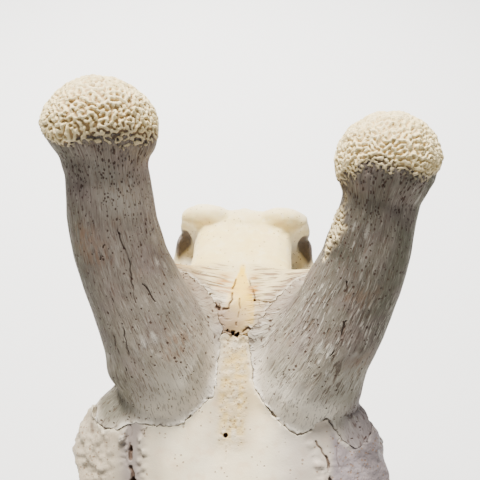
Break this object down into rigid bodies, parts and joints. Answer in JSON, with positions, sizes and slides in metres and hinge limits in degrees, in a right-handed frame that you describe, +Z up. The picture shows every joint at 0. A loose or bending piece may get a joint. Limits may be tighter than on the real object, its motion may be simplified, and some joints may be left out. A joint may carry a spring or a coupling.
{
  "type": "giraffe skull",
  "caption": "Life-size dry skull of a young adult bull giraffe with its lower jaw: long narrow muzzle, round orbits and two knobbed ossicones set on open sutures.",
  "frame": {"origin": "on the floor under the middle of the bounding box, at the level of the flats that the lower jaw stands on", "axes": "+X towards the animal's left, +Y from the muzzle to the back of the skull, +Z up"},
  "size_m": [0.2636, 0.6058, 0.4441],
  "materials": {
    "skull_bone": "dry matt bone",
    "horn_bone": "dry rough bone",
    "jaw_bone": "dry matt bone",
    "tooth": "worn enamel"
  },
  "bodies": {
    "root": {"braincase": "skull_bone", "frontal": "skull_bone", "maxilla_left": "skull_bone", "maxilla_right": "skull_bone", "nasal_left": "skull_bone", "nasal_right": "skull_bone", "premaxilla_left": "skull_bone", "premaxilla_right": "skull_bone", "ossicone_left": "horn_bone", "ossicone_right": "horn_bone", "mandible_left": "jaw_bone", "mandible_right": "jaw_bone"}
  },
  "joints": []
}
